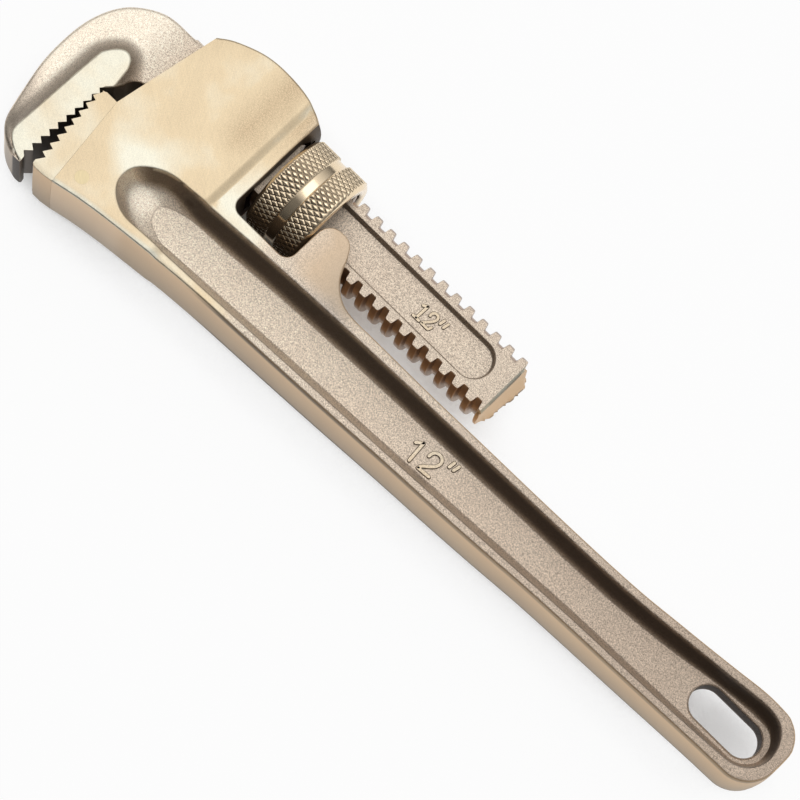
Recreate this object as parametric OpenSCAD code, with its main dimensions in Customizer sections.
// Pipe wrench, 12 inch class, aluminium bronze, jaws nearly closed.
// Millimetres. +X runs along the hook jaw shank towards the jaws,
// +Y towards the open side of the jaws, +Z out of the upper face.
// Sizes below are given about the shank axis, and place() moves the
// whole wrench so that its bounding box stands on z = 0 about the origin.

/* [Shank and thread] */
// Thickness of the threaded shank across its flats
shank_thick = 12; // [9:0.5:14]
// Outside diameter of the shank thread
thread_d = 22.2; // [20:0.1:23]
// Depth of the shank thread
thread_depth = 1.9; // [1.2:0.1:2.4]
// Pitch of the thread, right hand
thread_pitch = 5; // [5:1:5]
// Depth of the long panel sunk in each flat
panel_depth = 1.5; // [0.5:0.1:2.5]
// Width of that panel
panel_w = 11.8; // [8:0.2:13]

/* [Hook jaw] */
// Thickness of the hook body
hook_thick = 13; // [12.5:0.5:18]
// Thickness of the raised tooth bar
bar_thick = 20; // [16:0.5:25]
// Pitch of the jaw teeth
tooth_pitch = 3.05; // [2.5:0.05:3.5]
// Depth of the jaw teeth
tooth_depth = 1.5; // [0.8:0.1:2]

/* [Adjusting nut] */
// Outside diameter over the knurled bands
nut_d = 30.4; // [28:0.2:34]
// Length of the nut along the shank
nut_len = 18.5; // [16:0.5:19]
// Width of the plain groove between the bands
nut_groove_w = 2.8; // [1.5:0.1:5]
// Depth of that groove
nut_groove_depth = 0.7; // [0.3:0.1:1.5]

/* [Handle and housing] */
// Thickness of the head
head_thick = 25; // [22:0.5:28]
// Thickness of the strip beside the nut window
strip_thick = 23.2; // [20:0.2:25]
// Thickness of the handle at its tail
tail_thick = 17.4; // [14:0.2:20]
// Thickness of the web between the rims
web_thick = 6; // [4:0.5:8]
// Width of the hanging slot
slot_w = 10.4; // [8:0.2:12]
// Length of the hanging slot
slot_len = 23.2; // [16:0.2:26]

/* [Heel jaw] */
// Thickness of the heel jaw's tenon
tenon_thick = 8; // [5:0.5:12]
// Diameter of the heel jaw pin
pin_d = 4; // [3:0.5:6]

/* [Springs] */
// Width of the flat spring
leaf_w = 7; // [5:0.5:8]
// Thickness of the flat spring
leaf_t = 0.6; // [0.4:0.1:0.8]
// Outside diameter of the coil spring
coil_d = 6; // [5:0.2:6.4]
// Wire of the coil spring
coil_wire = 0.9; // [0.6:0.1:1.1]

/* [Hidden] */
$fn = 64;
eps = 0.05;
// reach of a cutter that goes right through the wrench
through = 40;

thread_r = thread_d / 2;
root_r = thread_r - thread_depth;
half_t = shank_thick / 2;
// centre of one ridge on the +Y edge; the others are whole pitches away
ridge_x0 = 2.5;
// half width of a ridge at its crest, and how much wider its foot is
crest_half = 1;
flank_run = 0.5;
shank_end = -11.2;
// end of the thread, and where the shank goes over into the hook body
thread_top = 76;
shank_top = 116;

nut_r = nut_d / 2;
nut_x0 = 53.1;
bore_r = thread_r + 0.4;
nut_gap = 0.2;

head_z = head_thick / 2;
strip_z = strip_thick / 2;
tail_z = tail_thick / 2;
web_z = web_thick / 2;
// tail of the handle, end face of the housing, foot and top of the slope
// that leads up to the thick head
tail_x = -134.2;
seat_x = 73.9;
slope_x0 = 77.4;
slope_x1 = 79.6;
// half height of the passage that the flats of the shank slide in
pass_z = half_t + 0.4;
// end of the hanging slot nearer the jaws, and its middle line
slot_x = -104.4;
slot_y = 22.5;

// heel jaw: corners of the tenon, and the pin through it
tenon_a = [102.5, 28.5];
tenon_b = [113.5, 45.6];
tenon_gap = 0.1;
pin_at = [107, 42];
pin_gap = 0.02;

// springs in the housing
rivet_d = 3;
rivet_at = 99;
coil_at = 93;
coil_y = [11.6, 21.4];
leaf_top = -11.62;
leaf_x = [74.6, 104.5];

// middle of the whole wrench as seen from the shank axis
mid_x = 2.75;
mid_y = 15.7;

module place() translate([-mid_x, -mid_y, nut_r]) children();

function arc(cx, cy, r, a0, a1, n) =
    [for (i = [0:n]) let (a = a0 + (a1 - a0) * i / n)
        [cx + r * cos(a), cy + r * sin(a)]];

// point between b and c on the smooth curve through a, b, c and d
function between(a, b, c, d, t) =
    (2 * b + (c - a) * t + (2 * a - 5 * b + 4 * c - d) * t * t
        + (3 * b - a - 3 * c + d) * t * t * t) / 2;

// smooth curve through the points p, n steps to a stretch
function curve(p, n) = let (m = len(p) - 1) concat(
    [for (i = [0:m - 1]) for (k = [0:n - 1])
        between(p[max(i - 1, 0)], p[i], p[i + 1], p[min(i + 2, m)], k / n)],
    [p[m]]);

// the same, closed
function closed_curve(p, n) = let (m = len(p))
    [for (i = [0:m - 1]) for (k = [0:n - 1])
        between(p[(i + m - 1) % m], p[i], p[(i + 1) % m], p[(i + 2) % m],
                k / n)];

// plate of a plan outline, half thickness h
module plate(pts, h) translate([0, 0, -h]) linear_extrude(2 * h) polygon(pts);

// box given by its two corners
module block(a, b) translate(a) cube(b - a);

// cylinder along X
module xcyl(x0, x1, r) translate([x0, 0, 0]) rotate([0, 90, 0])
    cylinder(h = x1 - x0, r = r);

// upright cutter at a point of the plan
module bore(at, d) translate([at[0], at[1], -through / 2])
    cylinder(h = through, d = d);

// solid through equal rings of points, each ring one closed outline
module loft(rings) {
    n = len(rings[0]);
    m = len(rings);
    polyhedron(
        points = [for (r = rings) for (p = r) p],
        faces = concat(
            [[for (i = [0:n - 1]) i]],
            [[for (i = [n - 1:-1:0]) (m - 1) * n + i]],
            [for (k = [0:m - 2]) for (i = [0:n - 1])
                [k * n + i, (k + 1) * n + i, k * n + (i + 1) % n]],
            [for (k = [0:m - 2]) for (i = [0:n - 1])
                [k * n + (i + 1) % n, (k + 1) * n + i,
                 (k + 1) * n + (i + 1) % n]]),
        convexity = 6);
}

// ------------------------------------------------------------ hook jaw

// half width of a thread ridge at radius r
function ridge_half(r) =
    crest_half + flank_run * (thread_r - r) / thread_depth;

// one helical ridge on the +Y edge (side 0) or the -Y edge (side 180)
module ridge(x0, side) {
    foot = root_r - 0.3;
    profile = [[-ridge_half(foot), foot], [ridge_half(foot), foot],
               [crest_half, thread_r], [-crest_half, thread_r]];
    n = 8;
    loft([for (k = [0:n])
        [for (q = profile)
            let (a = asin(half_t / q[1]), t = side + a * (2 * k / n - 1))
            [x0 + q[0] + thread_pitch * t / 360,
             q[1] * cos(t), q[1] * sin(t)]]]);
}

hook_outline = concat(
    curve([[114.6, -9.34], [122, -9.3], [129, -7.1], [134.6, -2.5],
           [138, 3.8], [139.55, 11], [139.65, 20], [138.3, 29.5],
           [136.2, 38], [133.8, 44.2], [128.6, 48.9], [123.2, 50.3]], 2),
    [[123.2, 46], [122.6, 30], [122.2, 20], [119.6, 17.2]],
    arc(113.6, 14.4, 5.06, 0, -75, 5),
    [[114.6, 9.4]]);

// tip line of the hook teeth, and one tooth's long flank and gullet
function hook_tip(y) = 120.75 + 0.044 * (y - 24);
long_flank = 2.25;
gullet = 2.95;

hook_teeth = [for (i = [0:8]) for (j = [0:2])
    let (y = 48.2 - i * tooth_pitch)
    j == 0 ? [hook_tip(y) + tooth_depth, y]
    : j == 1 ? [hook_tip(y - long_flank), y - long_flank]
    : [hook_tip(y - gullet) + tooth_depth, y - gullet]];

bar_outline = concat(
    curve([[130.3, 44.6], [129.2, 46.9], [127, 48.4], [124.4, 49.2],
           [hook_tip(49.4), 49.4]], 2),
    hook_teeth,
    [[121.8, 20.2], [119.4, 17]],
    arc(122.6, 11.9, 3.3, 180, 270, 6),
    arc(125.3, 12.9, 4.3, 280, 360, 6),
    [[130.2, 24], [130.7, 34]]);

// round bar cut to the thickness of the shank
module flat_bar(x0, x1, r) intersection() {
    xcyl(x0, x1, r);
    block([x0, -2 * r, -half_t], [x1, 2 * r, half_t]);
}

// long panel sunk in both flats, round at its ends
module shank_panels() {
    ends = [-0.3, 60];
    for (s = [-1, 1])
        translate([0, 0, s * half_t - panel_depth]) {
            for (x = ends)
                translate([x, 0, 0]) cylinder(h = 2 * panel_depth, d = panel_w);
            translate([ends[0], -panel_w / 2, 0])
                cube([ends[1] - ends[0], panel_w, 2 * panel_depth]);
        }
}

module hook_jaw() {
    color([0.80, 0.68, 0.48]) place() difference() {
        union() {
            flat_bar(shank_end, thread_top, root_r);
            flat_bar(thread_top - eps, shank_top, thread_r);
            plate(hook_outline, hook_thick / 2);
            plate(bar_outline, bar_thick / 2);
            for (k = [-2:14]) ridge(ridge_x0 + thread_pitch * k, 0);
            for (k = [-3:13]) ridge(ridge_x0 + thread_pitch * k, 180);
            // last ridge, cut off by the end of the shank
            intersection() {
                ridge(ridge_x0 - 3 * thread_pitch, 0);
                block([shank_end, 0, -thread_r], [0, 2 * thread_r, thread_r]);
            }
        }
        shank_panels();
    }
}

// ------------------------------------------------------- adjusting nut

// inside ridge of the nut, half width at radius r
function nut_half(r) = thread_pitch / 2 - ridge_half(r) - nut_gap;

module nut_thread() {
    tip = root_r + 0.4;
    foot = bore_r + 0.25;
    profile = [[-nut_half(tip), tip], [nut_half(tip), tip],
               [nut_half(foot), foot], [-nut_half(foot), foot]];
    turns = 3;
    n = 36;
    // this ridge runs half a pitch off the shank's
    x0 = ridge_x0 + 10.5 * thread_pitch;
    loft([for (k = [0:turns * n])
        [for (q = profile)
            let (t = 360 * k / n)
            [x0 + q[0] + thread_pitch * t / 360,
             q[1] * cos(t), q[1] * sin(t)]]]);
}

module adjusting_nut() {
    band = (nut_len - nut_groove_w) / 2;
    chamfer = 1.1;
    lead_in = 0.6;
    slant = 0.3;
    floor_r = nut_r - nut_groove_depth;
    half = [[bore_r, lead_in], [bore_r + lead_in, 0], [nut_r - chamfer, 0],
            [nut_r, chamfer], [nut_r, band - slant], [floor_r, band]];
    color([0.84, 0.74, 0.54]) place() union() {
        translate([nut_x0, 0, 0]) rotate([0, 90, 0]) rotate_extrude($fn = 96)
            polygon(concat(half,
                [for (i = [5:-1:0]) [half[i][0], nut_len - half[i][1]]]));
        nut_thread();
    }
}

// --------------------------------------------------- handle and housing

// one casting: head and housing at +X, handle to -X
casting_outline = concat(
    // seat of the heel jaw
    [[115.6, 20.3], [111.7, 48.6]],
    // outer edge of head and handle
    curve([[105, 47.2], [92, 45.3], [60, 42.4], [14, 40.3], [-38, 37.6],
           [-88, 35.2], [-119, 34]], 3),
    // rounded tail
    arc(-124.2, 24.1, 9.9, 72, 180, 8),
    arc(-124.8, 19.9, 9.5, 190, 262, 6),
    // inner edge of the handle
    curve([[-118.5, 10.4], [-98, 12.7], [-78, 14.7], [-54, 15.8],
           [-20, 16.5], [29, 17]], 3),
    // lug below the nut
    [[33.5, 16.2], [36.9, 14.2], [39.4, 11.6], [41, 8.6], [42, 6.1]],
    arc(46.9, 6.5, 4.3, 215, 270, 4),
    arc(48.2, 6.7, 4.5, 270, 360, 6),
    // nut window
    arc(55.9, 15.5, 3.2, 180, 90, 5),
    arc(70.7, 15.5, 3.2, 90, 0, 5),
    // rounded back of the housing
    curve([[seat_x, -15], [80, -17.7], [89, -18.9], [98.5, -18],
           [107, -14.5], [110.1, -12.2]], 3));

// side view of the casting, half thickness along x
side_x0 = tail_x - 2;
side_half = [[side_x0, tail_z], [slope_x0, strip_z], [slope_x1, head_z],
             [shank_top + 10, head_z]];
side_view = concat(side_half,
    [for (i = [3:-1:0]) [side_half[i][0], -side_half[i][1]]]);

// height of the upper face at x
function face_z(x) = lookup(x, side_half);

// edge of the sunk panel on the upper face and the step in from that
// edge to the flat of the web: [x, y, step x, step y]
panel_edge = closed_curve([
    [-116, 13.3, 0.4, 2.7], [-94, 15.6, 0.3, 3.2], [-66, 17.8, 0, 3.6],
    [-14, 19.2, 0, 3.8], [30, 20.4, 0, 4], [70, 22.4, -1, 4.3],
    [91, 24.2, -7.5, 3.8], [99.2, 29.8, -11, 0.8],
    [99.3, 36.4, -12.4, -1.4], [91.6, 41.3, -11, -4], [72, 40.6, -2, -4],
    [30, 38.6, 0, -4], [-36, 35.3, 0, -3.8], [-92, 32.7, 0.2, -3.4],
    [-118, 31.4, 0.6, -2.6], [-129.4, 27.4, 1.4, -1.2],
    [-130.2, 18.2, 1.5, 0.6], [-122, 12.9, 0.8, 2.6]], 2);

// ring of the panel's wall, f of the way in from the edge to the web
function panel_ring(f, z) =
    [for (p = panel_edge) [p[0] + f * p[2], p[1] + f * p[3], z]];

module panel_cut() {
    top = head_z + 1;
    mid = web_z + 1.4;
    knee = 0.6;
    loft([
        panel_ring(1, web_z),
        panel_ring(knee, mid),
        [for (p = panel_edge)
            let (f = knee * (top - face_z(p[0])) / (face_z(p[0]) - mid))
            [p[0] - f * p[2], p[1] - f * p[3], top]]]);
}

module hanging_slot() {
    ends = [slot_x - slot_w / 2, slot_x - slot_len + slot_w / 2];
    for (x = ends) bore([x, slot_y], slot_w);
    block([ends[1], slot_y - slot_w / 2, -through],
          [ends[0], slot_y + slot_w / 2, through]);
}

// way for the shank through the housing, and the fork of the lug
module shank_way() {
    block([seat_x - 5, -thread_r - 0.5, -pass_z],
          [shank_top + 10, thread_r + 1.2, pass_z]);
    block([30, -5, -pass_z], [seat_x - 4, thread_r + 0.9, pass_z]);
}

// room for the flat spring and its rivet, and the coil spring's pocket
module spring_room() {
    side_gap = 0.3;
    block([seat_x - 5, -13.4, -leaf_w / 2 - side_gap],
          [leaf_x[1] + 0.5, -thread_r, leaf_w / 2 + side_gap]);
    translate([rivet_at, -17, 0]) rotate([-90, 0, 0])
        cylinder(h = 6, d = rivet_d + 2 * pin_gap);
    translate([coil_at, 11, 0]) rotate([-90, 0, 0])
        cylinder(h = 10.5, d = coil_d + 2 * side_gap);
}

// pocket of the heel jaw's tenon and its pin hole
module tenon_room() {
    block([tenon_a[0] - tenon_gap, tenon_a[1] - tenon_gap,
           -tenon_thick / 2 - tenon_gap],
          [shank_top + 9, tenon_b[1] + tenon_gap,
           tenon_thick / 2 + tenon_gap]);
    bore(pin_at, pin_d + 2 * pin_gap);
}

module handle() {
    color([0.82, 0.71, 0.50]) place() difference() {
        intersection() {
            plate(casting_outline, head_z + 1);
            translate([0, 2 * through, 0]) rotate([90, 0, 0])
                linear_extrude(4 * through) polygon(side_view);
        }
        panel_cut();
        mirror([0, 0, 1]) panel_cut();
        hanging_slot();
        shank_way();
        spring_room();
        tenon_room();
    }
}

// ------------------------------------------------- heel jaw and its pin

// tip line of the heel teeth, and how far a root lies behind its tip
function heel_tip(y) = 120.5 - 0.034 * (y - 22);
root_back = 1;

heel_teeth = [for (i = [0:8]) for (j = [0:1])
    let (y = 22.3 + i * tooth_pitch)
    j == 0 ? [heel_tip(y), y]
    : [heel_tip(y) - tooth_depth, y + root_back]];

heel_outline = concat(
    [[115.7, 20.4], [119.6, 20.6], [119.6, 21]],
    heel_teeth,
    [[heel_tip(48), 48], [118.6, 48.7], [111.8, 48.6]]);

module heel_jaw() {
    color([0.86, 0.76, 0.56]) place() difference() {
        union() {
            plate(heel_outline, head_z);
            block([tenon_a[0], tenon_a[1], -tenon_thick / 2],
                  [tenon_b[0] + 1, tenon_b[1], tenon_thick / 2]);
        }
        bore(pin_at, pin_d + 2 * pin_gap);
    }
}

module heel_jaw_pin() {
    color([0.88, 0.78, 0.50]) place()
        translate([pin_at[0], pin_at[1], -head_z])
            cylinder(h = 2 * head_z, d = pin_d);
}

// --------------------------------------------------------------- springs

// bowed strip lying in the groove of the housing's back wall
module flat_spring() {
    bow_r = 140;
    color([0.55, 0.56, 0.58]) place() difference() {
        intersection() {
            translate([88.5, leaf_top - bow_r, -leaf_w / 2]) difference() {
                cylinder(h = leaf_w, r = bow_r, $fn = 200);
                translate([0, 0, -1])
                    cylinder(h = leaf_w + 2, r = bow_r - leaf_t, $fn = 200);
            }
            block([leaf_x[0], leaf_top - 2.4, -leaf_w / 2],
                  [leaf_x[1], leaf_top + 0.6, leaf_w / 2]);
        }
        translate([rivet_at, -17, 0]) rotate([-90, 0, 0])
            cylinder(h = 8, d = rivet_d + 2 * pin_gap);
    }
}

module spring_rivet() {
    color([0.60, 0.60, 0.60]) place()
        translate([rivet_at, -11.9, 0]) rotate([90, 0, 0])
            cylinder(h = 4.9, d = rivet_d);
}

// coil spring standing in its pocket, axis along Y
module coil_spring() {
    turns = 4;
    n = 20;
    m = 8;
    rc = (coil_d - coil_wire) / 2;
    rw = coil_wire / 2;
    y0 = coil_y[0] + rw;
    y1 = coil_y[1] - rw;
    color([0.55, 0.56, 0.58]) place()
        loft([for (k = [0:turns * n])
            let (t = 360 * k / n, y = y0 + (y1 - y0) * k / (turns * n))
            [for (j = [0:m - 1])
                let (b = 360 * j / m, r = rc + rw * cos(b))
                [coil_at + r * cos(t), y + rw * sin(b), r * sin(t)]]]);
}

handle();
heel_jaw();
heel_jaw_pin();
hook_jaw();
adjusting_nut();
flat_spring();
spring_rivet();
coil_spring();
